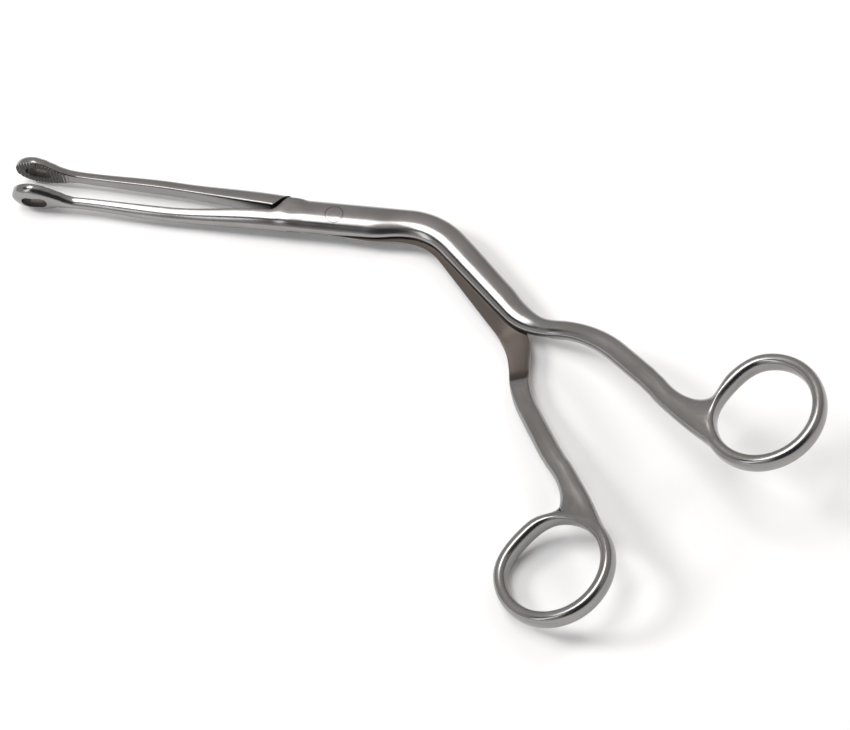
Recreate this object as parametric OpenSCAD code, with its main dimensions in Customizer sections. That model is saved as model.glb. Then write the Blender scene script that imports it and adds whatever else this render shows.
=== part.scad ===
// Magill forceps: two crossed steel arms that turn on one flush pivot screw.
// The joint frame has the pivot axis on Z, the flat faces of the lap at z = 0
// and the jaws along -X. The last step lays the whole instrument on a table.

/* [Jaws] */
// Distance from the pivot axis to the tip of the upper arm's jaw
jaw_reach = 92; // [70:1:110]
// Length by which the lower arm's jaw reaches farther
jaw_extra = 1.2; // [0:0.1:2]
// Height of the jaw loop, across the instrument's plane
loop_height = 10.2; // [8:0.1:12]
// Length of the round front half of the loop
loop_front = 6.2; // [5:0.1:8]
// Length of the jaw head, from the tip to the neck
head_length = 18; // [16:0.5:24]
// Thickness of one jaw head
head_thickness = 3.7; // [3:0.1:5]
// Distance between the two round ends of the window
window_straight = 3; // [1:0.1:4]
// Radius of the window's round ends
window_radius = 2.15; // [1.5:0.05:2.6]
// Distance from the tip to the middle of the window
window_from_tip = 6.7; // [6:0.1:8]
// Pitch of the cross serrations
tooth_pitch = 0.9; // [0.6:0.05:1.5]
// Depth of the cross serrations
tooth_depth = 0.35; // [0.1:0.05:0.5]
// Width of the jaw bar at its neck, behind the head
neck_width = 2.6; // [2:0.1:3.5]
// Height of the jaw bar at its neck
neck_height = 3.4; // [2.5:0.1:4]
// Width of the jaw bar at its root, in front of the joint
root_width = 4.8; // [4:0.1:5.5]
// Height of the jaw bar at its root
root_height = 5.8; // [5:0.1:7]
// Distance that the jaw bars lie below the middle of the loops
bar_drop = 1.2; // [0:0.1:2]
// Distance that each bar bows away from the other when the jaws are shut
bar_bow = 1.2; // [0.5:0.1:2.5]

/* [Joint] */
// Width of the lap joint
joint_width = 9.8; // [8:0.1:12]
// Thickness of one arm at the joint
joint_half = 3.2; // [3:0.1:4.5]
// Gap between the flat faces of the two arms
lap_gap = 0.06; // [0.02:0.02:0.2]
// Distance from the pivot axis to the front of the lap, at the middle line
lap_front = 18; // [16:0.5:24]
// Diameter of the pivot screw
screw_diameter = 5; // [3.5:0.1:6]
// Diameter of the screw head
head_diameter = 7; // [6:0.1:7.4]
// Depth of the counterbore that holds the screw head
head_depth = 1.5; // [1:0.1:2]
// Radial clearance around the screw
screw_clearance = 0.03; // [0.01:0.01:0.1]
// Width of the driver slot
slot_width = 0.9; // [0.6:0.1:1.2]
// Depth of the driver slot
slot_depth = 0.7; // [0.3:0.1:1]

/* [Handle] */
// Distance from the pivot axis to the corner of the bend
bend_x = 28; // [24:1:36]
// Angle of the bend, in the plane of the jaws
bend_angle = 45; // [35:1:50]
// Radius of the bend
bend_radius = 18; // [10:1:24]
// Distance from the bend to the place where the arms part
parting = 41.8; // [38:0.2:46]
// Distance from the bend to the upper arm's ring, along the bent line
upper_handle = 111; // [100:0.5:120]
// Distance of the upper arm's ring from the bent line
upper_spread = 28.1; // [25:0.1:33]
// Distance from the bend to the lower arm's ring, along the bent line
lower_handle = 105.7; // [95:0.5:112]
// Distance of the lower arm's ring from the bent line
lower_spread = 29.1; // [26:0.1:34]
// Width of one arm between the bend and the crotch
shaft_width = 7.6; // [6:0.1:8]
// Extra width on the outer side of the bend
bend_bulge = 1.1; // [0:0.1:1.5]
// Thickness of one arm between the bend and the crotch
shaft_half = 3; // [2.8:0.1:4]
// Width of a shank behind the crotch
shank_width = 5.8; // [5:0.1:7]
// Height of a shank behind the crotch
shank_height = 5; // [4:0.1:6.5]
// Distance from the pivot axis to the line where the handles turn up
fold_x = 52; // [50:1:60]
// Angle by which the handles rise out of the plane of the jaws
fold_angle = 20; // [0:1:25]
// Radius of that rise
fold_radius = 30; // [8:1:40]

/* [Finger rings] */
// Inner diameter of a finger ring
ring_bore = 25.4; // [22:0.1:28]
// Radial width of the ring's band
ring_band = 3.5; // [3:0.1:5]
// Height of the ring's band along its axis
ring_height = 5.4; // [4:0.1:8]

/* [Pose] */
// Angle between the two arms as they lie, zero when the jaws are shut
open_angle = 4; // [1:0.5:20]
// Height of the pivot centre above the table
rest_height = 4.9; // [4:0.05:12]
// Rise of the joint plane along the jaws
rest_pitch = -0.3; // [-10:0.1:10]
// Roll of the joint plane about the jaws
rest_roll = 3.2; // [-15:0.1:15]

/* [Hidden] */

// Points around one section, and the longest step between sections
section_points = 28;
path_step = 2.4;
// Sections that follow the ring, hidden inside its band
hidden_steps = 4;
// Squareness of a flat side, of the rings and shanks, and of the arms' rounded sides
flat_power = 9;
round_power = 2.6;
side_power = 2.35;
half_lap = [side_power, side_power, flat_power, side_power];
round_sides = [side_power, side_power, side_power, side_power];
round_shank = [round_power, round_power, round_power, round_power];
// Inner side of the half-round jaw bars, and places of their crest from outside to inside
inner_side = [side_power, 5, side_power, side_power];
tip_crest = 0.7;
bar_crest = 0.86;
root_crest = 0.46;
// Share of the bar's growth that it has reached at half its length
bar_growth = 0.33;
// The flat faces lie half the gap, and beside the screw a little more, off the lap plane
lap = lap_gap / 2;
flat_relief = 0.02;
crotch_relief = 0.3;
// End of the flat faces behind the parting of the arms
lap_rear = bend_x + parting + 6.2;
lower_flat_extra = 4;
// The web starts this far in front of the ring and rises towards it, beside a flare
web_start = 15.8;
web_rise = 5;
web_length = 3.6;
shank_flare = 1;
ring_middle = (ring_bore + ring_band) / 2;
// Each ring is a little flat on the side that faces the jaws
ring_flat = 1.3;
flat_reach = 50;
upper_flat = 74;
lower_flat = 100;
ring_steps = 90;

// Play between the lap's slanted front and the other arm
shoulder_gap = 0.4;
// Half the space between the jaw heads when they are shut
tooth_seat = 0.05;
// End of the full jaw bar, inside the part that the lap cuts away
lap_end = 8;

// Half widths of the two arms where they leave the crotch
upper_crotch = 2.5;
lower_crotch = 2.75;
// The full width of the joint ends here, and the shaft's width starts
joint_rear = 10;
shaft_front = 20;
// Depth at which the serrations start, under the jaw's inner face
tooth_land = 0.03;

// Corners of the two handle lines in the joint frame, with the jaws shut. A knee lies
// behind the parting and an elbow lies in front of the ring, each along and across the bent line
upper_knee = [14.8, 12.4];
upper_elbow = [16.4, 13.5];
lower_knee = [13.3, 8.1];
lower_elbow = [14.5, 15.2];
upper_offset = 1.2;
lower_offset = 0.9;
lower_lead = 1.1;
// The lower arm bends a little farther from the pivot
bend_shift = 0.8;

jaw_line = [-jaw_reach, 0];
upper_ring = past_bend(upper_handle, upper_spread);
upper_entry = 260 - bend_angle;
upper_corners = [jaw_line, [bend_x, 0], past_bend(parting, upper_offset),
    past_bend(parting + upper_knee.x, upper_knee.y),
    past_bend(upper_handle - upper_elbow.x, upper_spread - upper_elbow.y)];
upper_radii = [bend_radius, 24, 34, 30];
lower_ring = past_bend(lower_handle, -lower_spread);
lower_entry = 90 - bend_angle;
lower_corners = [jaw_line, [bend_x + bend_shift, 0], past_bend(parting - lower_lead, lower_offset),
    past_bend(parting + lower_knee.x, -lower_knee.y),
    past_bend(lower_handle - lower_elbow.x, lower_elbow.y - lower_spread)];
lower_radii = [bend_radius, 20, 30, 30];

function unit(a) = [cos(a), sin(a)];
function left(a) = [-sin(a), cos(a)];
function aim(p, q) = atan2(q.y - p.y, q.x - p.x);
function mix(a, b, t) = a + (b - a) * t;
function ease(t) = let (k = min(1, max(0, t))) k * k * (3 - 2 * k);
function span(a, b, x) = (x - a) / (b - a);

// A point behind the bend, from its distances along and across the bent line
function past_bend(along, across) =
    [bend_x, 0] + along * unit(-bend_angle) + across * left(-bend_angle);

// Points around one rounded corner, each with its heading
function corner(p, q, r, radius) =
    let (from = aim(p, q), turn = aim(q, r) - from, side = sign(turn))
    let (centre = q - radius * tan(abs(turn) / 2) * unit(from) + side * radius * left(from))
    let (steps = ceil(abs(turn) / 4))
    [for (i = [0 : steps]) let (a = from + turn * i / steps) [centre - side * radius * left(a), a]];

// Points on the straight run between two path points, ends left out
function run(a, b, step) =
    let (steps = ceil(norm(b[0] - a[0]) / step))
    [for (i = [1 : 1 : steps - 1]) [mix(a[0], b[0], i / steps), a[1]]];

// Centre line of a handle, from the bend to where it has joined its ring
function handle_path(corners, radii, ring, entry, side) =
    let (all = concat(corners, [ring + ring_middle * unit(entry)]))
    let (arcs = [for (i = [0 : len(radii) - 1]) corner(all[i], all[i + 1], all[i + 2], radii[i])])
    let (goal = [all[len(all) - 1], entry + side * 90])
    concat(
        [for (i = [0 : len(arcs) - 1]) each concat(arcs[i],
            run(arcs[i][len(arcs[i]) - 1], i < len(arcs) - 1 ? arcs[i + 1][0] : goal, path_step))],
        [goal],
        [for (i = [1 : hidden_steps]) let (a = entry + side * 6 * i)
            [ring + ring_middle * unit(a), a + side * 90]]);

// Length of the path from the pivot to each of its points
function lengths(path) =
    [for (i = 0, s = path[0][0].x; i < len(path);
        i = i + 1, s = i < len(path) ? s + norm(path[i][0] - path[i - 1][0]) : s) s];

// Values of a table at one place, eased from each row to the next
function row_at(rows, s) =
    let (last = len(rows) - 1)
    s <= rows[0][0] ? rows[0] : s >= rows[last][0] ? rows[last] :
    let (i = max([for (k = [0 : last]) rows[k][0] <= s ? k : 0]))
    mix(rows[i], rows[i + 1], ease(span(rows[i][0], rows[i + 1][0], s)));

// Outline of one section: each row holds the place, the lateral and vertical
// limits, where the widest lines lie between them, and the squareness of the
// outer side, the inner side, the bottom and the top
function section(row) =
    let (v = mix(row[1], row[2], row[5]), z = mix(row[3], row[4], row[6]))
    [for (i = [0 : section_points - 1])
        let (a = 360 * (i + 0.5) / section_points, c = cos(a), s = sin(a))
        let (power = max(c < 0 ? row[7] : row[8], s < 0 ? row[9] : row[10]))
        [v + (c < 0 ? row[1] - v : row[2] - v) * pow(abs(c), 2 / power),
         z + (s < 0 ? row[3] - z : row[4] - z) * pow(abs(s), 2 / power)]];

// The handles turn up about a line across the joint's plane
function folded(p) =
    let (length = fold_radius * fold_angle * PI / 180)
    let (a = fold_angle * min(1, max(0, (p.x - fold_x) / length)))
    let (beyond = max(0, p.x - fold_x - length))
    p.x <= fold_x ? p :
    [fold_x + (fold_radius - p.z) * sin(a) + beyond * cos(a), p.y,
     fold_radius - (fold_radius - p.z) * cos(a) + beyond * sin(a)];

// A closed skin over equal rings of points
module skin(rings) {
    n = len(rings[0]);
    m = len(rings);
    polyhedron(
        points = [for (ring = rings) each ring],
        faces = concat(
            [[for (j = [0 : n - 1]) j]],
            [[for (j = [n - 1 : -1 : 0]) (m - 1) * n + j]],
            [for (i = [0 : m - 2], j = [0 : n - 1]) let (k = (j + 1) % n) each [
                [i * n + j, (i + 1) * n + j, (i + 1) * n + k],
                [i * n + j, (i + 1) * n + k, i * n + k]]]),
        convexity = 8);
}

// Half height of the jaw head at one place along it
function head_half(x, reach) =
    let (middle = -reach + loop_front, neck = -reach + head_length)
    x < middle ? loop_height / 2 * sqrt(1 - pow(min(1, (middle - x) / loop_front), 2)) :
    mix(loop_height, neck_height, ease(span(middle, neck, x))) / 2;

// Drop of the jaw bars behind the loops, gone again at the joint
function drop_at(x, reach) =
    let (middle = -reach + loop_front, neck = -reach + head_length)
    bar_drop * ease(span(middle, neck, x)) * (1 - ease(span(-reach / 2, -lap_front, x)));

// Table of the jaw, from the tip to the joint
function jaw_rows(reach) =
    let (neck = -reach + head_length, middle = -reach / 2)
    let (root_centre = (root_height / 2 + lap + flat_relief) / (root_height / 2 + joint_half))
    let (low = mix(neck_height, root_height, bar_growth) / 2)
    let (tip = [for (a = [12, 24, 38, 54, 72, 90])
        let (x = -reach + loop_front * (1 - cos(a)), t = head_thickness * (0.5 + 0.5 * sin(a)))
        [x, -t - tooth_seat, -tooth_seat, -head_half(x, reach), head_half(x, reach),
         tip_crest, 0.5, each inner_side]])
    let (head = [for (t = [0.2 : 0.2 : 0.8])
        let (x = mix(-reach + loop_front, neck, t), w = mix(head_thickness, neck_width, ease(t)))
        let (inner = mix(tooth_seat, bar_bow / 2, ease(2 * t - 1)))
        [x, -w - inner, -inner, -head_half(x, reach), head_half(x, reach),
         mix(tip_crest, bar_crest, t), 0.5, each inner_side]])
    concat(tip, head, [
        [neck, -neck_width - bar_bow / 2, -bar_bow / 2, -neck_height / 2, neck_height / 2,
         bar_crest, 0.5, each inner_side],
        [middle, -bar_bow - mix(neck_width, root_width, bar_growth), -bar_bow, -low, low,
         bar_crest, 0.5, each inner_side],
        [-lap_front, -root_width, -lap, -root_height / 2, root_height / 2,
         bar_crest, 0.5, each inner_side],
        [-lap_front + joint_width / 2, -joint_width / 2, joint_width / 2 - shoulder_gap,
         -root_height / 2, joint_half, root_crest, root_centre, side_power, flat_power,
         side_power, side_power],
        [-lap_end, -joint_width / 2, joint_width / 2, -root_height / 2, joint_half,
         0.5, root_centre, each round_sides]]);

// Table of the joint and the handle, up to the finger ring at the given length. The flat
// half of the lap ends at the given rear, where the arm turns into a round shank
function handle_rows(goal, crotch, rear, side) =
    let (joint = joint_width / 2, shaft = shaft_width / 2, shank = shank_width / 2)
    let (flat = lap + flat_relief, high = shank_height / 2, narrowed = mix(shaft, crotch, 0.1))
    let (left_of = side > 0 ? bend_bulge : 0, right_of = bend_bulge - left_of)
    concat([
        [-lap_end + 0.1, -joint, joint, flat, joint_half, 0.5, 0, each half_lap],
        [joint_rear, -joint, joint, flat, joint_half, 0.5, 0, each half_lap],
        [shaft_front, -shaft - right_of, shaft + left_of, flat, shaft_half, 0.5, 0, each half_lap],
        [bend_x + 8, -shaft - 0.9 * right_of, shaft + 0.9 * left_of, flat, shaft_half,
         0.5, 0, each half_lap],
        [rear - 20, -shaft - 0.4 * right_of, shaft + 0.4 * left_of, flat, shaft_half,
         0.5, 0, each half_lap],
        [rear - 14, -narrowed, narrowed, flat + crotch_relief, shaft_half, 0.5, 0.05, each half_lap],
        [rear - 2, -crotch, crotch, flat + crotch_relief, mix(shaft_half, high, 0.3),
         0.5, 0.2, each half_lap],
        [rear + 4, -crotch, crotch, -high * 0.5, mix(shaft_half, high, 0.45),
         0.5, 0.5, side_power, side_power, 3, side_power],
        [rear + 20, -shank, shank, -high, high, 0.5, 0.5, each round_sides]],
        [for (d = [30, 26, 22, 18.5, 16.5, 15, 14, 13, 12, 11, 10, 8, 6, 4, 2, 0])
            let (flare = shank_flare * ease((30 - d) / 14))
            let (tall = mix(ring_height / 2 - 0.35, high, min(1, d / 20)))
            let (web = web_rise * pow(max(0, web_start - d) / web_length, 2))
            [goal - d, -mix(ring_band / 2 - 0.1, shank, ease(d / 12)) - flare * ease(d / 10),
             min(shank - flare + web, web_reach(d)), -tall, tall, 0.5, 0.5, each round_shank]],
        [[goal + 3, -ring_band / 2 + 0.3, ring_band / 2 - 0.6, -ring_height / 2 + 0.5,
          ring_height / 2 - 0.5, 0.5, 0.5, each round_shank]]);

// Lateral reach of the web towards the ring, kept inside the ring's band
function web_reach(d) =
    let (inside = ring_bore / 2 + ring_band * 0.4)
    d >= inside ? shank_width : ring_middle - sqrt(inside * inside - d * d);

// The forging without its holes, from the tip to the finger ring
module forging(side, reach, corners, radii, ring, entry) {
    jaw = jaw_rows(reach);
    jaw_x = [for (i = [0 : len(jaw) - 2]) let (n = ceil((jaw[i + 1][0] - jaw[i][0]) / 4))
        each [for (k = [0 : n - 1]) mix(jaw[i][0], jaw[i + 1][0], k / n)]];
    joint_x = [-lap_end, -lap_end + 0.1, for (x = [-4 : 4 : joint_rear - 1]) x,
        for (i = [0 : 4]) mix(joint_rear, shaft_front, i / 4)];
    path = concat(
        [for (x = concat(jaw_x, joint_x)) [[x, 0], 0]],
        handle_path(corners, radii, ring, entry, side));
    s = lengths(path);
    crotch = side > 0 ? upper_crotch : lower_crotch;
    rear = lap_rear + (side > 0 ? 0 : lower_flat_extra);
    rows = concat(jaw, handle_rows(s[len(s) - 1 - hidden_steps], crotch, rear, side));
    skin([for (i = [0 : len(path) - 1]) let (sides = left(path[i][1]))
        [for (p = section(row_at(rows, s[i])))
            folded([path[i][0].x + side * p.x * sides.x, path[i][0].y + side * p.x * sides.y,
                    side * p.y - drop_at(s[i], reach)])]]);
}

// Radius of the ring's middle line at a turn from the place where the handle joins it
function ring_radius(turn, flat) =
    abs(turn - flat) > flat_reach ? ring_middle :
    ring_middle - ring_flat * pow(cos((turn - flat) / flat_reach * 90), 2);

// A finger ring, turned up with its handle and a little flat beside the web
module finger_ring(centre, entry, side) {
    flat = side > 0 ? upper_flat : lower_flat;
    section = [for (i = [0 : 23]) let (a = 15 * i, c = cos(a), s = sin(a))
        [ring_band / 2 * sign(c) * pow(abs(c), 2 / round_power),
         ring_height / 2 * sign(s) * pow(abs(s), 2 / round_power)]];
    n = len(section);
    translate(folded([centre.x, centre.y, 0]))
        rotate([0, -fold_angle, 0])
            polyhedron(
                points = [for (i = [0 : ring_steps - 1])
                    let (turn = 360 * i / ring_steps - 180, a = entry - side * turn)
                    each [for (p = section) [each (ring_radius(turn, flat) + p.x) * unit(a), p.y]]],
                faces = [for (i = [0 : ring_steps - 1], j = [0 : n - 1])
                    let (m = (i + 1) % ring_steps, k = (j + 1) % n)
                    let (quad = [i * n + j, i * n + k, m * n + k, m * n + j])
                    each side < 0 ? [[quad[0], quad[1], quad[2]], [quad[0], quad[2], quad[3]]]
                        : [[quad[2], quad[1], quad[0]], [quad[3], quad[2], quad[0]]]],
                convexity = 6);
}

// What the other arm's flat half takes out of this arm's jaw bar
module lap_cut() {
    front = lap_front + shoulder_gap;
    reach = joint_width;
    translate([0, 0, lap - 10])
        linear_extrude(10)
            polygon(concat(
                [[-front, reach]],
                [for (t = [0 : 0.1 : 1]) [-front + reach / 2 * t, -reach / 2 * ease(t)]],
                [[-front + reach * 0.55, -reach], [-lap_end + 0.6, -reach], [-lap_end + 0.6, reach]]));
}

// Cross serrations of one jaw head
module serrations(shift, reach) {
    count = floor(head_length / tooth_pitch) + 1;
    start = -reach - tooth_pitch + shift;
    translate([0, 0, -loop_height])
        linear_extrude(2 * loop_height)
            polygon(concat(
                [for (i = [0 : count]) each [
                    [start + i * tooth_pitch, -tooth_seat - tooth_land],
                    [start + (i + 0.5) * tooth_pitch, -tooth_seat - tooth_land - tooth_depth]]],
                [[start + (count + 1) * tooth_pitch, -tooth_seat - tooth_land],
                 [start + (count + 1) * tooth_pitch, 2], [start, 2]]));
}

// The window through the jaw head
module window(reach) {
    middle = -reach + window_from_tip;
    for (x = [-0.5, 0.5] * window_straight)
        translate([middle + x, 0, 0])
            rotate([90, 0, 0])
                cylinder(h = 4 * head_thickness, r = window_radius, center = true, $fn = 64);
    translate([middle, 0, 0])
        cube([window_straight, 4 * head_thickness, 2 * window_radius], center = true);
}

// One forged arm with its jaw, its half of the lap and its finger ring
module arm(side, reach, corners, radii, ring, entry) {
    difference() {
        union() {
            forging(side, reach, corners, radii, ring, entry);
            finger_ring(ring, entry, side);
        }
        rotate([side > 0 ? 0 : 180, 0, 0]) {
            lap_cut();
            serrations(side > 0 ? 0 : tooth_pitch / 2, reach);
        }
        window(reach);
        children();
    }
}

// Everything is laid on the table from here
module lay(turn) {
    translate([0, 0, rest_height])
        rotate([rest_roll, -rest_pitch, 0])
            rotate([0, 0, turn])
                children();
}

module upper_arm() {
    color([0.62, 0.60, 0.57])
        lay(open_angle / 2)
            arm(1, jaw_reach, upper_corners, upper_radii, upper_ring, upper_entry)
                translate([0, 0, -1])
                    cylinder(h = joint_half + 2, d = screw_diameter + 2 * screw_clearance, $fn = 64);
}

module lower_arm() {
    color([0.56, 0.54, 0.51])
        lay(-open_angle / 2)
            arm(-1, jaw_reach + jaw_extra, lower_corners, lower_radii, lower_ring, lower_entry) {
                translate([0, 0, -joint_half - 1])
                    cylinder(h = joint_half + 2, d = screw_diameter + 2 * screw_clearance, $fn = 64);
                translate([0, 0, -joint_half - 1])
                    cylinder(h = head_depth + 1, d = head_diameter + 2 * screw_clearance, $fn = 64);
            }
}

module pivot_screw() {
    color([0.68, 0.67, 0.65])
        lay(open_angle / 2)
            difference() {
                union() {
                    translate([0, 0, -joint_half])
                        cylinder(h = 2 * joint_half - 0.05, d = screw_diameter, $fn = 64);
                    translate([0, 0, -joint_half])
                        cylinder(h = head_depth - screw_clearance, d = head_diameter, $fn = 64);
                }
                translate([0, 0, -joint_half])
                    cube([head_diameter * 2, slot_width, 2 * slot_depth], center = true);
            }
}

upper_arm();
lower_arm();
pivot_screw();
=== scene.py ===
import math
import bmesh
import bpy
import numpy as np
from mathutils import Matrix, Vector
from mathutils.bvhtree import BVHTree

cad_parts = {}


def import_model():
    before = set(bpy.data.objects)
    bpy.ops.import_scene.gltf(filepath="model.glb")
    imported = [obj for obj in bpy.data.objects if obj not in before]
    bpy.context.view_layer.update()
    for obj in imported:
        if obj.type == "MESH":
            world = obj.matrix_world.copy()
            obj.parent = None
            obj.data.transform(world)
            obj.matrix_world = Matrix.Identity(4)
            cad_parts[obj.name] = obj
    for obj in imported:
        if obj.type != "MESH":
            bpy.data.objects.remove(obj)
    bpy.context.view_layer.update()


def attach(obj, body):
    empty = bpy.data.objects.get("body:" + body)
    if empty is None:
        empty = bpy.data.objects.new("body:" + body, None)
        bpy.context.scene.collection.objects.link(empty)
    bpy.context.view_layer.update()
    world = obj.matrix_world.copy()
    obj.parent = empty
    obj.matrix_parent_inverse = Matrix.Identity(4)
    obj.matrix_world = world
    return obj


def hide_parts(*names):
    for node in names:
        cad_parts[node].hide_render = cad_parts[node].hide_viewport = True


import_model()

MM = 0.001

# ---------------------------------------------------------------- sizes, in millimetres
jaw_reach, jaw_extra = 92, 1.2
loop_height, loop_front = 10.2, 6.2
head_length, head_thickness = 18, 3.7
window_straight, window_radius, window_from_tip = 3, 2.15, 6.7
tooth_pitch, tooth_depth, tooth_seat, tooth_land = 0.9, 0.35, 0.05, 0.03
neck_width, neck_height = 2.6, 3.4
root_width, root_height = 4.8, 5.8
bar_drop, bar_bow, bar_crest = 1.2, 1.2, 0.86
joint_width, joint_half, joint_rear = 9.8, 3.2, 10
lap = 0.03
lap_front, lap_end, lap_rear = 18, 8, 76
shoulder_gap, flat_relief, crotch_relief = 0.4, 0.02, 0.3
screw_radius, head_radius, head_depth = 2.5, 3.5, 1.5
screw_clearance, slot_width, slot_depth = 0.03, 0.9, 0.7
bend_x, bend_angle, bend_radius, bend_shift, bend_bulge = 28, 45, 18, 0.8, 1.1
shaft_width, shaft_half, shaft_front = 7.6, 3, 20
shank_width, shank_height, shank_flare = 5.8, 5, 1
fold_x, fold_angle, fold_radius = 52, 20, 30
ring_bore, ring_band, ring_height = 25.4, 3.5, 5.4
ring_middle = (ring_bore + ring_band) / 2
ring_flat, flat_reach = 1.3, 50
web_rise, web_start = 5, 15.8
flat_power, round_power, side_power = 9, 2.6, 2.35
open_angle, rest_height, rest_pitch, rest_roll = 4, 4.9, -0.3, 3.2


def unit(a):
    return np.array([math.cos(math.radians(a)), math.sin(math.radians(a))])


def left(a):
    return np.array([-math.sin(math.radians(a)), math.cos(math.radians(a))])


def past_bend(along, across):
    return np.array([bend_x, 0.0]) + along * unit(-bend_angle) + across * left(-bend_angle)


parting = 41.8
ARMS = {
    "upper_arm": {
        "side": 1, "body": "upper", "reach": jaw_reach, "rear": lap_rear, "turn": open_angle / 2, "crotch": 2.5, "flat": 74,
        "ring": past_bend(111, 28.1), "entry": 260 - bend_angle,
        "corners": [np.array([-jaw_reach, 0.0]), np.array([bend_x, 0.0]), past_bend(parting, 1.2),
                    past_bend(parting + 14.8, 12.4), past_bend(94.6, 14.6)],
        "radii": [bend_radius, 24, 34, 30]},
    "lower_arm": {
        "side": -1, "body": "lower", "reach": jaw_reach + jaw_extra, "rear": lap_rear + 4, "turn": -open_angle / 2, "crotch": 2.75, "flat": 100,
        "ring": past_bend(105.7, -29.1), "entry": 90 - bend_angle,
        "corners": [np.array([-jaw_reach, 0.0]), np.array([bend_x + bend_shift, 0.0]),
                    past_bend(parting - 1.1, 0.9), past_bend(parting + 13.3, -8.1), past_bend(91.2, -13.9)],
        "radii": [bend_radius, 20, 30, 30]},
}


def mix(a, b, t):
    return a + (b - a) * t


def ease(t):
    k = min(1.0, max(0.0, t))
    return k * k * (3 - 2 * k)


def span(a, b, x):
    return (x - a) / (b - a)


def aim(p, q):
    return math.degrees(math.atan2(q[1] - p[1], q[0] - p[0]))


def corner(p, q, r, radius):
    start = aim(p, q)
    turn = aim(q, r) - start
    side = math.copysign(1, turn)
    centre = q - radius * math.tan(math.radians(abs(turn) / 2)) * unit(start) + side * radius * left(start)
    steps = math.ceil(abs(turn) / 1.5)
    out = []
    for i in range(steps + 1):
        a = start + turn * i / steps
        out.append((centre - side * radius * left(a), a))
    return out


def run(a, b, step):
    steps = max(1, math.ceil(np.linalg.norm(b[0] - a[0]) / step))
    return [(mix(a[0], b[0], i / steps), a[1]) for i in range(1, steps)]


def handle_path(arm):
    side, entry = arm["side"], arm["entry"]
    goal = (arm["ring"] + ring_middle * unit(entry), entry + side * 90)
    points = arm["corners"] + [goal[0]]
    arcs = [corner(points[i], points[i + 1], points[i + 2], arm["radii"][i]) for i in range(len(arm["radii"]))]
    path = []
    for i, arc in enumerate(arcs):
        after = arcs[i + 1][0] if i + 1 < len(arcs) else goal
        path += arc + run(arc[-1], after, 0.9)
    path.append(goal)
    inside = 6
    for i in range(1, inside + 1):
        a = entry + side * 4 * i
        path.append((arm["ring"] + ring_middle * unit(a), a + side * 90))
    return path, inside


def row_at(rows, s):
    if s <= rows[0][0]:
        return rows[0]
    if s >= rows[-1][0]:
        return rows[-1]
    i = max(k for k in range(len(rows)) if rows[k][0] <= s)
    return mix(rows[i], rows[i + 1], ease(span(rows[i][0], rows[i + 1][0], s)))


def section(row, count):
    v, z = mix(row[1], row[2], row[5]), mix(row[3], row[4], row[6])
    out = []
    for i in range(count):
        a = 2 * math.pi * (i + 0.5) / count
        c, s = math.cos(a), math.sin(a)
        power = max(row[7] if c < 0 else row[8], row[9] if s < 0 else row[10])
        out.append((v + ((row[1] if c < 0 else row[2]) - v) * math.copysign(1, 1) * abs(c) ** (2 / power),
                    z + ((row[3] if s < 0 else row[4]) - z) * abs(s) ** (2 / power)))
    return out


def folded(x, y, z):
    length = math.radians(fold_radius * fold_angle)
    if x <= fold_x:
        return (x, y, z)
    a = math.radians(fold_angle) * min(1, (x - fold_x) / length)
    beyond = max(0, x - fold_x - length)
    return (fold_x + (fold_radius - z) * math.sin(a) + beyond * math.cos(a), y,
            fold_radius - (fold_radius - z) * math.cos(a) + beyond * math.sin(a))


def head_half(x, reach):
    middle, neck = -reach + loop_front, -reach + head_length
    if x < middle:
        return loop_height / 2 * math.sqrt(max(0, 1 - min(1, (middle - x) / loop_front) ** 2))
    return mix(loop_height, neck_height, ease(span(middle, neck, x))) / 2


def drop_at(x, reach):
    middle, neck = -reach + loop_front, -reach + head_length
    return bar_drop * ease(span(middle, neck, x)) * (1 - ease(span(-reach / 2, -lap_front, x)))


def jaw_rows(reach):
    neck, middle, inner_edge = -reach + head_length, -reach / 2, 5
    root_centre = (root_height / 2 + lap + flat_relief) / (root_height / 2 + joint_half)
    p, rows = side_power, []
    for a in (8, 16, 24, 32, 40, 48, 56, 64, 72, 81, 90):
        x = -reach + loop_front * (1 - math.cos(math.radians(a)))
        t = head_thickness * (0.5 + 0.5 * math.sin(math.radians(a)))
        half = head_half(x, reach)
        rows.append([x, -t - tooth_seat, -tooth_seat, -half, half, 0.7, 0.5, p, inner_edge, p, p])
    for t in (0.2, 0.4, 0.6, 0.8):
        x = mix(-reach + loop_front, neck, t)
        w, half = mix(head_thickness, neck_width, ease(t)), head_half(x, reach)
        inner = mix(tooth_seat, bar_bow / 2, ease(2 * t - 1))
        rows.append([x, -w - inner, -inner, -half, half, mix(0.7, bar_crest, t), 0.5, p, inner_edge, p, p])
    mid_height = mix(neck_height, root_height, 0.33) / 2
    rows += [
        [neck, -neck_width - bar_bow / 2, -bar_bow / 2, -neck_height / 2, neck_height / 2,
         bar_crest, 0.5, p, inner_edge, p, p],
        [middle, -bar_bow - mix(neck_width, root_width, 0.33), -bar_bow, -mid_height, mid_height,
         bar_crest, 0.5, p, inner_edge, p, p],
        [-lap_front, -root_width, -lap, -root_height / 2, root_height / 2,
         bar_crest, 0.5, p, inner_edge, p, p],
        [-lap_front + joint_width / 2, -joint_width / 2, joint_width / 2 - shoulder_gap,
         -root_height / 2, joint_half, 0.46, root_centre, p, flat_power, p, p],
        [-lap_end, -joint_width / 2, joint_width / 2, -root_height / 2, joint_half,
         0.5, root_centre, p, p, p, p]]
    return rows


def web_reach(d):
    inside = ring_bore / 2 + ring_band * 0.4
    return shank_width if d >= inside else ring_middle - math.sqrt(inside * inside - d * d)


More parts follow.
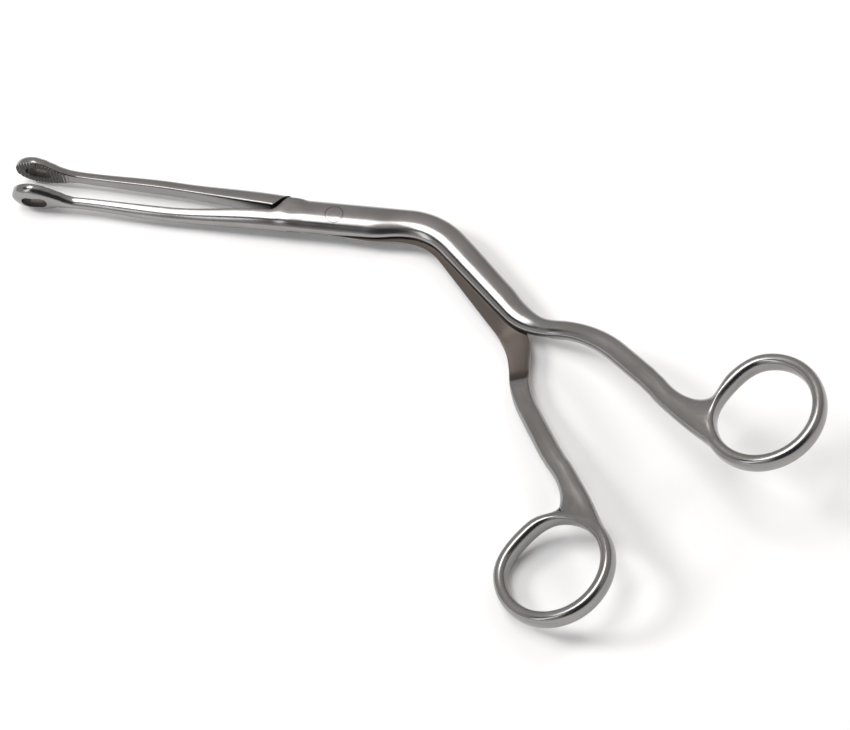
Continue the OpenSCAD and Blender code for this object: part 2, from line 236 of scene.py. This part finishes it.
def handle_rows(goal, arm):
    crotch, rear = arm["crotch"], arm["rear"]
    joint, shaft, shank = joint_width / 2, shaft_width / 2, shank_width / 2
    flat, high = lap + flat_relief, shank_height / 2
    left_of = bend_bulge if arm["side"] > 0 else 0
    right_of = bend_bulge - left_of
    fp, sp = flat_power, side_power
    low = flat + crotch_relief
    wide = mix(shaft, crotch, 0.1)
    rows = [
        [-lap_end + 0.1, -joint, joint, flat, joint_half, 0.5, 0, sp, sp, fp, sp],
        [joint_rear, -joint, joint, flat, joint_half, 0.5, 0, sp, sp, fp, sp],
        [shaft_front, -shaft - right_of, shaft + left_of, flat, shaft_half, 0.5, 0, sp, sp, fp, sp],
        [bend_x + 8, -shaft - 0.9 * right_of, shaft + 0.9 * left_of, flat, shaft_half, 0.5, 0, sp, sp, fp, sp],
        [rear - 20, -shaft - 0.4 * right_of, shaft + 0.4 * left_of, flat, shaft_half,
         0.5, 0, sp, sp, fp, sp],
        [rear - 14, -wide, wide, low, shaft_half, 0.5, 0.05, sp, sp, fp, sp],
        [rear - 2, -crotch, crotch, low, mix(shaft_half, high, 0.3), 0.5, 0.2, sp, sp, fp, sp],
        [rear + 4, -crotch, crotch, -high * 0.5, mix(shaft_half, high, 0.45), 0.5, 0.5, sp, sp, 3, sp],
        [rear + 20, -shank, shank, -high, high, 0.5, 0.5, sp, sp, sp, sp]]
    rp = round_power
    for d in (30, 26, 22, 18.5, 16.5, 15, 14, 13, 12, 11, 10, 8, 6, 4, 2, 0):
        flare = shank_flare * ease((30 - d) / 14)
        tall = mix(ring_height / 2 - 0.15, high, min(1, d / 20))
        rows.append([goal - d, -mix(ring_band / 2 - 0.1, shank, ease(d / 12)) - flare * ease(d / 10),
                     min(shank - flare + web_rise * (max(0, web_start - d) / 3.6) ** 2, web_reach(d)),
                     -tall, tall, 0.5, 0.5, rp, mix(rp, 5, ease((18 - d) / 5)), rp, rp])
    rows.append([goal + 3, -ring_band / 2 + 0.3, ring_band / 2 - 0.6, -ring_height / 2 + 0.5,
                 ring_height / 2 - 0.5, 0.5, 0.5, rp, rp, rp, rp])
    return rows


# ---------------------------------------------------------------- meshes
def lay_matrix(turn):
    m = Matrix.Translation((0, 0, rest_height))
    m = m @ Matrix.Rotation(math.radians(-rest_pitch), 4, "Y") @ Matrix.Rotation(math.radians(rest_roll), 4, "X")
    return m @ Matrix.Rotation(math.radians(turn), 4, "Z")


def make_object(name, verts, faces, coords=None, materials=()):
    """Mesh object from millimetres; coords holds along, across, up and flatness for each vertex."""
    mesh = bpy.data.meshes.new(name)
    mesh.from_pydata([tuple(v) for v in verts], [], faces)
    mesh.update()
    grain, depth = mesh.uv_layers.new(name="grain"), mesh.uv_layers.new(name="depth")
    if coords is not None:
        loops = np.zeros(len(mesh.loops), dtype=np.int32)
        mesh.loops.foreach_get("vertex_index", loops)
        c = np.asarray(coords, dtype=np.float32)[loops]
        grain.data.foreach_set("uv", np.ascontiguousarray(c[:, 0:2]).ravel())
        depth.data.foreach_set("uv", np.ascontiguousarray(c[:, 2:4]).ravel())
    for m in materials:
        mesh.materials.append(m)
    obj = bpy.data.objects.new(name, mesh)
    bpy.context.collection.objects.link(obj)
    return obj


def skin_faces(n, m, flip, closed):
    faces = []
    for i in range(m if closed else m - 1):
        for j in range(n):
            a, b = i * n + j, i * n + (j + 1) % n
            c, d = ((i + 1) % m) * n + (j + 1) % n, ((i + 1) % m) * n + j
            faces.append((a, d, c, b) if flip else (a, b, c, d))
    if not closed:
        first, last = list(range(n)), [(m - 1) * n + j for j in range(n)]
        faces.append(tuple(first if flip else reversed(first)))
        faces.append(tuple(reversed(last) if flip else last))
    return faces


def forging(name, arm, count, materials):
    side = arm["side"]
    reach = arm["reach"]
    jaw = [np.array(r, float) for r in jaw_rows(reach)]
    xs = []
    for i in range(len(jaw) - 1):
        n = max(1, math.ceil((jaw[i + 1][0] - jaw[i][0]) / 0.9))
        xs += [mix(jaw[i][0], jaw[i + 1][0], k / n) for k in range(n)]
    xs += [-lap_end, -lap_end + 0.1]
    handle, inside = handle_path(arm)
    start = handle[0][0][0]
    n = math.ceil((start + lap_end) / 1.0)
    xs += [mix(-lap_end + 0.1, start, k / n) for k in range(1, n)]
    path = [(np.array([x, 0.0]), 0.0) for x in xs] + handle
    s = [path[0][0][0]]
    for i in range(1, len(path)):
        s.append(s[-1] + np.linalg.norm(path[i][0] - path[i - 1][0]))
    rows = jaw + [np.array(r, float) for r in handle_rows(s[len(s) - 1 - inside], arm)]
    goal = s[len(s) - 1 - inside]
    verts, coords, weights = [], [], []
    for (p, a), here in zip(path, s):
        row = row_at(rows, here)
        lat = left(a)
        for v, z in section(row, count):
            verts.append(folded(p[0] + side * v * lat[0], p[1] + side * v * lat[1], side * z - drop_at(here, reach)))
            # flat marks the lap's flat faces, which the steel paints dark brown as painted shade and painted
            # reflection.
            flat = 1.0 if (-lap_end < here < arm["rear"] + 0.5 and z < row[3] + 0.06) else 0.0
            coords.append((here * MM, v * MM, z * MM, flat))
            weights.append(ease((v + 0.5) / 2) * ease((goal - 3 - here) / 4) * ease((here - goal + 30) / 6))
    return make_object(name, verts, skin_faces(count, len(path), side < 0, False), coords, materials), weights


def ring_radius(turn, flat):
    if abs(turn - flat) > flat_reach:
        return ring_middle
    return ring_middle - ring_flat * math.cos(math.radians((turn - flat) / flat_reach * 90)) ** 2


def finger_ring(name, arm, around, count, materials):
    side = arm["side"]
    centre = folded(arm["ring"][0], arm["ring"][1], 0)
    tilt = math.radians(fold_angle)
    verts, coords, weights = [], [], []
    for i in range(around):
        turn = 360 * i / around - 180
        u = unit(arm["entry"] - side * turn)
        radius = ring_radius(turn, arm["flat"])
        for j in range(count):
            a = 2 * math.pi * j / count
            c, s = math.cos(a), math.sin(a)
            across = ring_band / 2 * math.copysign(abs(c) ** (2 / round_power), c)
            up = ring_height / 2 * math.copysign(abs(s) ** (2 / round_power), s)
            x, y = (radius + across) * u[0], (radius + across) * u[1]
            verts.append((centre[0] + x * math.cos(tilt) - up * math.sin(tilt), centre[1] + y,
                          centre[2] + x * math.sin(tilt) + up * math.cos(tilt)))
            coords.append((math.radians(turn) * ring_middle * MM, across * MM, up * MM, 0))
            weights.append(ease((turn - 8) / 14) * (1 - ease((turn - 75) / 25)) * ease((across + 0.3) / 1.4))
    return make_object(name, verts, skin_faces(count, around, side > 0, True), coords, materials), weights


def prism(name, outline, z0, z1, materials=()):
    n = len(outline)
    verts = [(x, y, z0) for x, y in outline] + [(x, y, z1) for x, y in outline]
    area = sum(outline[i][0] * outline[(i + 1) % n][1] - outline[(i + 1) % n][0] * outline[i][1] for i in range(n))
    order = list(range(n)) if area > 0 else list(reversed(range(n)))
    faces = [tuple(reversed(order)), tuple(i + n for i in order)]
    for k in range(n):
        a, b = order[k], order[(k + 1) % n]
        faces.append((a, b, b + n, a + n))
    return make_object(name, verts, faces, None, materials)


def barrel(name, rings, count, materials=()):
    """Closed turned solid from (radius, z) rings."""
    verts, faces = [], []
    for r, z in rings:
        verts += [(r * math.cos(2 * math.pi * j / count), r * math.sin(2 * math.pi * j / count), z)
                  for j in range(count)]
    return make_object(name, verts, skin_faces(count, len(rings), False, False), None, materials)


def lap_cut(side, materials):
    front = lap_front + shoulder_gap
    reach = joint_width
    outline = [(-front, reach)]
    outline += [(-front + reach / 2 * t / 16, -reach / 2 * ease(t / 16)) for t in range(17)]
    outline += [(-front + reach * 0.55, -reach), (-lap_end + 0.6, -reach), (-lap_end + 0.6, reach)]
    return prism("lap_cut", outline, lap - 10, lap, materials)


def serrations(shift, reach, materials):
    count = math.floor(head_length / tooth_pitch) + 1
    start = -reach - tooth_pitch + shift
    outline = []
    for i in range(count + 1):
        outline.append((start + i * tooth_pitch, -tooth_seat - tooth_land))
        outline.append((start + (i + 0.5) * tooth_pitch, -tooth_seat - tooth_land - tooth_depth))
    end = start + (count + 1) * tooth_pitch
    outline += [(end, -tooth_seat - tooth_land), (end, 2), (start, 2)]
    return prism("serrations", outline, -loop_height, loop_height, materials)


def window(reach, materials):
    """Cutter of the window, straight through both faces."""
    middle = -reach + window_from_tip
    base = []
    for k in range(33):
        a = math.radians(-90 + 180 * k / 32)
        base.append((window_straight / 2 + window_radius * math.cos(a), window_radius * math.sin(a)))
    for k in range(33):
        a = math.radians(90 + 180 * k / 32)
        base.append((-window_straight / 2 + window_radius * math.cos(a), window_radius * math.sin(a)))
    levels = ((-12, 1.0),  (12, 1.0))
    verts = []
    for y, grow in levels:
        verts += [(middle + x * grow, y, z * grow) for x, z in base]
    return make_object("window", verts, skin_faces(len(base), len(levels), True, False), None, materials)


def modifier(obj, cutter, operation):
    m = obj.modifiers.new(operation, "BOOLEAN")
    m.operation = operation
    m.solver = "EXACT"
    m.object = cutter
    m.material_mode = "TRANSFER"
    return m


def apply_all(obj):
    graph = bpy.context.evaluated_depsgraph_get()
    mesh = bpy.data.meshes.new_from_object(obj.evaluated_get(graph), preserve_all_data_layers=True, depsgraph=graph)
    obj.modifiers.clear()
    old = obj.data
    obj.data = mesh
    bpy.data.meshes.remove(old)


def discard(objects):
    for o in objects:
        mesh = o.data
        bpy.data.objects.remove(o)
        bpy.data.meshes.remove(mesh)


def surface_tree(obj):
    return BVHTree.FromPolygons([v.co for v in obj.data.vertices], [p.vertices for p in obj.data.polygons])


def swell(obj, other, reach, weights):
    """Lifts a surface towards another one near it, so that their union gets a fillet."""
    moves = []
    for v, w in zip(obj.data.vertices, weights):
        if w <= 0:
            continue
        hit = other.find_nearest(v.co, reach)
        if hit[0] is None:
            continue
        inside = (v.co - hit[0]).dot(hit[1]) < 0
        amount = w * reach / 4 * (1 - hit[3] / reach) ** 2
        moves.append((v.index, v.normal.copy(), amount * max(0, 1 - hit[3] / 0.8) if inside else amount))
    for i, normal, amount in moves:
        obj.data.vertices[i].co += normal * amount
    obj.data.update()


def soften(obj, weight, rounds):
    """Smooths the skin of one region, such as the web between a shank and its ring."""
    mesh = obj.data
    bm = bmesh.new()
    bm.from_mesh(mesh)
    bmesh.ops.remove_doubles(bm, verts=[v for v in bm.verts if weight(v.co) > 0], dist=0.15)
    bm.to_mesh(mesh)
    bm.free()
    points = np.zeros(3 * len(mesh.vertices))
    mesh.vertices.foreach_get("co", points)
    points = points.reshape(-1, 3)
    edges = np.zeros(2 * len(mesh.edges), dtype=np.int32)
    mesh.edges.foreach_get("vertices", edges)
    edges = edges.reshape(-1, 2)
    share = np.array([weight(p) for p in points])
    edges = edges[(share[edges[:, 0]] > 0) | (share[edges[:, 1]] > 0)]
    count = np.bincount(edges.ravel(), minlength=len(points)).clip(1)[:, None]
    for _ in range(rounds):
        total = np.zeros_like(points)
        np.add.at(total, edges[:, 0], points[edges[:, 1]])
        np.add.at(total, edges[:, 1], points[edges[:, 0]])
        points += 0.5 * share[:, None] * (total / count - points)
    mesh.vertices.foreach_set("co", points.ravel())
    mesh.update()


def finish_mesh(obj, turn, sharp):
    obj.data.transform(lay_matrix(turn))
    obj.data.transform(Matrix.Scale(MM, 4))
    obj.data.polygons.foreach_set("use_smooth", [True] * len(obj.data.polygons))
    obj.data.set_sharp_from_angle(angle=math.radians(sharp))
    obj.data.update()


def build_arm(node, arm, steel, cut):
    side = arm["side"]
    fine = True
    body, body_weights = forging(node + "_steel", arm, 72 if fine else 48, [steel])
    ring, ring_weights = finger_ring("ring", arm, 200 if fine else 120, 56 if fine else 32, [steel])
    centre = Vector(folded(arm["ring"][0], arm["ring"][1], 0))
    ring_tree, body_tree = surface_tree(ring), surface_tree(body)
    swell(body, ring_tree, 5, body_weights)
    swell(ring, body_tree, 5, ring_weights)
    modifier(body, ring, "UNION")
    apply_all(body)
    discard([ring])

    def web(co):
        r = math.hypot(math.hypot(co[0] - centre.x, co[1] - centre.y), co[2] - centre.z)
        turn = side * (arm["entry"] - math.degrees(math.atan2(co[1] - centre.y, co[0] - centre.x)))
        turn = (turn + 180) % 360 - 180
        if not (0 < turn < 84 and 13.2 < r < 30):
            return 0
        return ease((r - 13.2) / 1.2) * ease((30 - r) / 6) * ease(turn / 10) * ease((84 - turn) / 26)

    soften(body, web, 110)
    cutters = [lap_cut(side, [cut]), serrations(0 if side > 0 else tooth_pitch / 2, arm["reach"], [cut])]
    if side < 0:
        for c in cutters:
            c.data.transform(Matrix.Rotation(math.pi, 4, "X"))
    cutters.append(window(arm["reach"], [cut]))
    hole = screw_radius + 0.07
    if side > 0:
        cutters.append(barrel("hole", [(hole, -1), (hole, joint_half + 1)], 64, [cut]))
    else:
        wide = head_radius + 0.07
        floor_z = -joint_half + head_depth
        cutters.append(barrel("hole", [(wide, -joint_half - 1), (wide, floor_z), (hole, floor_z + 0.001), (hole, 1)],
                              64, [cut]))
    for c in cutters:
        modifier(body, c, "DIFFERENCE")
    apply_all(body)
    discard(cutters)
    finish_mesh(body, arm["turn"], 32)
    return body


def build_screw(steel):
    z_mid = lap + flat_relief

    def dome(y):
        return z_mid + (joint_half - z_mid) * (1 - min(1, 2 * abs(y) / joint_width) ** side_power) ** (1 / side_power)

    count, verts, faces, coords = 96, [], [], []
    rings = [(0.02, "top", 0), (0.8, "top", 0), (1.6, "top", 0), (2.2, "top", 0), (2.42, "top", -0.005),
             (screw_radius, "top", -0.09), (screw_radius, "flat", -joint_half + head_depth - 0.03),
             (head_radius, "flat", -joint_half + head_depth - 0.03), (head_radius, "flat", -joint_half + 0.25),
             (head_radius - 0.2, "flat", -joint_half + 0.02), (0.02, "flat", -joint_half)]
    for r, kind, z in rings:
        for j in range(count):
            a = 2 * math.pi * j / count
            x, y = r * math.cos(a), r * math.sin(a)
            zz = dome(y) + z if kind == "top" else z
            verts.append((x, y, zz))
            coords.append((x * MM, y * MM, zz * MM, 0))
    faces = skin_faces(count, len(rings), True, False)
    screw = make_object("pivot_screw_steel", verts, faces, coords, [steel])
    slot = prism("slot", [(-5, -slot_width / 2), (5, -slot_width / 2), (5, slot_width / 2), (-5, slot_width / 2)],
                 -joint_half - 1, -joint_half + slot_depth)
    modifier(screw, slot, "DIFFERENCE")
    apply_all(screw)
    discard([slot])
    finish_mesh(screw, open_angle / 2, 32)
    return screw


# ---------------------------------------------------------------- materials
def node(nt, kind, **values):
    n = nt.nodes.new(kind)
    for key, value in values.items():
        if key in n.inputs:
            n.inputs[key].default_value = value
        else:
            setattr(n, key, value)
    return n


def straight_coords(nt, along, across):
    """Position along, across and up in the arm as if it were straight, so the grain follows its bends."""
    grain = node(nt, "ShaderNodeUVMap", uv_map="grain")
    depth = node(nt, "ShaderNodeUVMap", uv_map="depth")
    a, b = nt.nodes.new("ShaderNodeSeparateXYZ"), nt.nodes.new("ShaderNodeSeparateXYZ")
    nt.links.new(grain.outputs[0], a.inputs[0])
    nt.links.new(depth.outputs[0], b.inputs[0])
    joined = nt.nodes.new("ShaderNodeCombineXYZ")
    nt.links.new(a.outputs["X"], joined.inputs["X"])
    nt.links.new(a.outputs["Y"], joined.inputs["Y"])
    nt.links.new(b.outputs["X"], joined.inputs["Z"])
    return joined.outputs[0], b.outputs["Y"]


def scaled(nt, vector, scale):
    m = nt.nodes.new("ShaderNodeMapping")
    m.inputs["Scale"].default_value = scale
    nt.links.new(vector, m.inputs["Vector"])
    return m.outputs[0]


def noise(nt, vector, scale, detail=2.0, rough=0.5):
    n = node(nt, "ShaderNodeTexNoise")
    n.inputs["Scale"].default_value = scale
    n.inputs["Detail"].default_value = detail
    n.inputs["Roughness"].default_value = rough
    nt.links.new(vector, n.inputs["Vector"])
    return n.outputs["Fac"]


def remap(nt, value, a, b, c, d):
    m = nt.nodes.new("ShaderNodeMapRange")
    for key, v in zip(("From Min", "From Max", "To Min", "To Max"), (a, b, c, d)):
        m.inputs[key].default_value = v
    nt.links.new(value, m.inputs["Value"])
    return m.outputs[0]


def math_node(nt, op, a, b):
    m = nt.nodes.new("ShaderNodeMath")
    m.operation = op
    for i, v in enumerate((a, b)):
        if isinstance(v, (int, float)):
            m.inputs[i].default_value = v
        else:
            nt.links.new(v, m.inputs[i])
    return m.outputs[0]


def satin_steel(name):
    mat = bpy.data.materials.new(name)
    mat.use_nodes = True
    nt = mat.node_tree
    bsdf = nt.nodes["Principled BSDF"]
    bsdf.inputs["Metallic"].default_value = 1.0
    place, flat = straight_coords(nt, 1, 1)
    streaks = noise(nt, scaled(nt, place, (60, 2600, 2600)), 1.0, 3.0, 0.6)
    clouds = noise(nt, scaled(nt, place, (90, 260, 260)), 1.0, 3.0, 0.55)
    specks = noise(nt, scaled(nt, place, (2200, 2200, 2200)), 1.0, 2.0, 0.6)
    tone = math_node(nt, "ADD", math_node(nt, "MULTIPLY", clouds, 0.7), math_node(nt, "MULTIPLY", streaks, 0.3))
    tint = nt.nodes.new("ShaderNodeValToRGB")
    tint.color_ramp.elements[0].position = 0.3
    tint.color_ramp.elements[0].color = (0.262, 0.252, 0.246, 1)
    tint.color_ramp.elements[1].position = 0.7
    tint.color_ramp.elements[1].color = (0.335, 0.329, 0.326, 1)
    nt.links.new(tone, tint.inputs[0])
    # The lap's flat faces get a dark brown base colour: painted shade and painted reflection, standing in for the
    # other arm's shadow on them and the dark room they mirror.
    flat_shade_mix = nt.nodes.new("ShaderNodeMix")
    flat_shade_mix.data_type = "RGBA"
    flat_shade_mix.inputs[7].default_value = (0.098, 0.083, 0.075, 1)
    nt.links.new(flat, flat_shade_mix.inputs[0])
    nt.links.new(tint.outputs[0], flat_shade_mix.inputs[6])
    nt.links.new(flat_shade_mix.outputs[2], bsdf.inputs["Base Color"])
    rough = remap(nt, tone, 0.3, 0.7, 0.15, 0.24)
    rough = math_node(nt, "ADD", rough, math_node(nt, "MULTIPLY", flat, 0.12))
    nt.links.new(rough, bsdf.inputs["Roughness"])
    height = math_node(nt, "ADD", math_node(nt, "MULTIPLY", streaks, 0.6), math_node(nt, "MULTIPLY", specks, 0.4))
    bump = nt.nodes.new("ShaderNodeBump")
    bump.inputs["Strength"].default_value = 0.12
    bump.inputs["Distance"].default_value = 0.00002
    nt.links.new(height, bump.inputs["Height"])
    nt.links.new(bump.outputs[0], bsdf.inputs["Normal"])
    return mat


def shaded_cut_steel(name):
    mat = bpy.data.materials.new(name)
    mat.use_nodes = True
    nt = mat.node_tree
    bsdf = nt.nodes["Principled BSDF"]
    bsdf.inputs["Metallic"].default_value = 1.0
    coord = nt.nodes.new("ShaderNodeTexCoord")
    grit = noise(nt, scaled(nt, coord.outputs["Object"], (1, 1, 1)), 1800.0, 3.0, 0.6)
    tint = nt.nodes.new("ShaderNodeValToRGB")
    # Near-black base colour: painted shade on the cut faces (teeth, window, lap step, screw hole), with random grit
    # in its tone.
    tint.color_ramp.elements[0].color = (0.06, 0.056, 0.053, 1)
    tint.color_ramp.elements[1].color = (0.16, 0.154, 0.149, 1)
    nt.links.new(grit, tint.inputs[0])
    nt.links.new(tint.outputs[0], bsdf.inputs["Base Color"])
    nt.links.new(remap(nt, grit, 0.3, 0.7, 0.30, 0.42), bsdf.inputs["Roughness"])
    return mat


# ---------------------------------------------------------------- studio
def camera():
    data = bpy.data.cameras.new("photo_camera")
    data.sensor_width = 36.0
    data.lens = 36.0 * 2600.0 / 850.0
    data.clip_start = 0.02
    data.clip_end = 20.0
    obj = bpy.data.objects.new("photo_camera", data)
    right = Vector((0.98059, 0.18602, -0.06191))
    up = Vector((-0.12642, 0.84131, 0.52556))
    back = Vector((0.14985, -0.50753, 0.84850))
    m = Matrix((right, up, back)).transposed().to_4x4()
    m.translation = Vector((0.137206, -0.394107, 0.592485))
    obj.matrix_world = m
    bpy.context.collection.objects.link(obj)
    bpy.context.scene.camera = obj


def lamp(name, where, target, size, watts, color, mirrored=True):
    data = bpy.data.lights.new(name, "AREA")
    data.shape = "RECTANGLE"
    data.size, data.size_y = size
    data.energy = watts
    data.color = color
    obj = bpy.data.objects.new(name, data)
    obj.location = where
    obj.rotation_euler = (Vector(target) - Vector(where)).to_track_quat("-Z", "Y").to_euler()
    obj.visible_glossy = mirrored
    bpy.context.collection.objects.link(obj)
    return obj


def floor():
    mesh = bpy.data.meshes.new("floor")
    mesh.from_pydata([(-3, -3, -0.0001), (3, -3, -0.0001), (3, 3, -0.0001), (-3, 3, -0.0001)], [], [(0, 1, 2, 3)])
    obj = bpy.data.objects.new("floor", mesh)
    bpy.context.collection.objects.link(obj)
    mat = bpy.data.materials.new("floor")
    mat.use_nodes = True
    bsdf = mat.node_tree.nodes["Principled BSDF"]
    bsdf.inputs["Base Color"].default_value = (0.95, 0.95, 0.95, 1)
    bsdf.inputs["Roughness"].default_value = 0.7
    bsdf.inputs["Specular IOR Level"].default_value = 0.1
    mesh.materials.append(mat)


# Dark flags around the lights: direction, cosines where each begins and is full, and colour
FLAGS = (
    ((0.394, -0.682, 0.616), 0.76, 0.87, (0.05, 0.05, 0.06, 1)),
    ((-0.45, -0.22, 0.86), 0.90, 0.945, (0.03, 0.03, 0.04, 1)))


def world():
    w = bpy.data.worlds.new("studio")
    bpy.context.scene.world = w
    w.use_nodes = True
    nt = w.node_tree
    bg = nt.nodes["Background"]
    coord = nt.nodes.new("ShaderNodeTexCoord")
    sep = nt.nodes.new("ShaderNodeSeparateXYZ")
    nt.links.new(coord.outputs["Generated"], sep.inputs[0])
    ramp = nt.nodes.new("ShaderNodeValToRGB")
    ramp.color_ramp.elements[0].position = 0.0
    ramp.color_ramp.elements[0].color = (0.50, 0.51, 0.53, 1)
    ramp.color_ramp.elements[1].position = 1.0
    ramp.color_ramp.elements[1].color = (0.66, 0.61, 0.57, 1)
    nt.links.new(sep.outputs["Z"], ramp.inputs[0])
    sides = nt.nodes.new("ShaderNodeMapRange")
    for key, v in zip(("From Min", "From Max", "To Min", "To Max"), (-0.2, 1.0, 1.0, 0.72)):
        sides.inputs[key].default_value = v
    nt.links.new(sep.outputs["X"], sides.inputs["Value"])
    shaded = nt.nodes.new("ShaderNodeVectorMath")
    shaded.operation = "SCALE"
    nt.links.new(ramp.outputs[0], shaded.inputs[0])
    nt.links.new(sides.outputs[0], shaded.inputs["Scale"])
    shade = shaded.outputs[0]
    for where, begin, full, dark in FLAGS:
        toward = nt.nodes.new("ShaderNodeVectorMath")
        toward.operation = "DOT_PRODUCT"
        nt.links.new(coord.outputs["Generated"], toward.inputs[0])
        toward.inputs[1].default_value = Vector(where).normalized()
        flag = nt.nodes.new("ShaderNodeMapRange")
        flag.interpolation_type = "SMOOTHSTEP"
        for key, v in zip(("From Min", "From Max", "To Min", "To Max"), (begin, full, 0.0, 1.0)):
            flag.inputs[key].default_value = v
        nt.links.new(toward.outputs["Value"], flag.inputs["Value"])
        mixed = nt.nodes.new("ShaderNodeMix")
        mixed.data_type = "RGBA"
        nt.links.new(flag.outputs[0], mixed.inputs[0])
        nt.links.new(shade, mixed.inputs[6])
        mixed.inputs[7].default_value = dark
        shade = mixed.outputs[2]
    nt.links.new(shade, bg.inputs["Color"])
    bg.inputs["Strength"].default_value = 1.0


camera()
floor()
world()
TARGET = (0.02, -0.04, 0.0)
lamp("overhead", (-0.38, 0.08, 1.12), TARGET, (0.64, 0.54), 6.0, (0.985, 0.99, 1.0))
lamp("window", (-0.50, -0.72, 0.60), TARGET, (0.22, 0.85), 1.3, (0.94, 0.97, 1.0))
lamp("key", (-0.95, -0.03, 0.70), TARGET, (0.30, 0.30), 6.5, (1.0, 0.98, 0.95), mirrored=False)
lamp("front", (-0.15, -1.10, 0.36), TARGET, (0.60, 0.24), 2.6, (0.96, 0.98, 1.0), mirrored=False)
lamp("back", (0.55, 0.75, 0.85), TARGET, (0.35, 0.35), 2.4, (1.0, 0.95, 0.90), mirrored=False)

steel = satin_steel("satin_steel")
cut = shaded_cut_steel("shaded_cut_steel")
for name, arm in ARMS.items():
    piece = build_arm(name, arm, steel, cut)
    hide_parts(name)
    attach(piece, arm["body"])
screw = build_screw(satin_steel("screw_steel"))
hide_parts("pivot_screw")
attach(screw, "upper")

bpy.context.scene.view_settings.view_transform = "Standard"
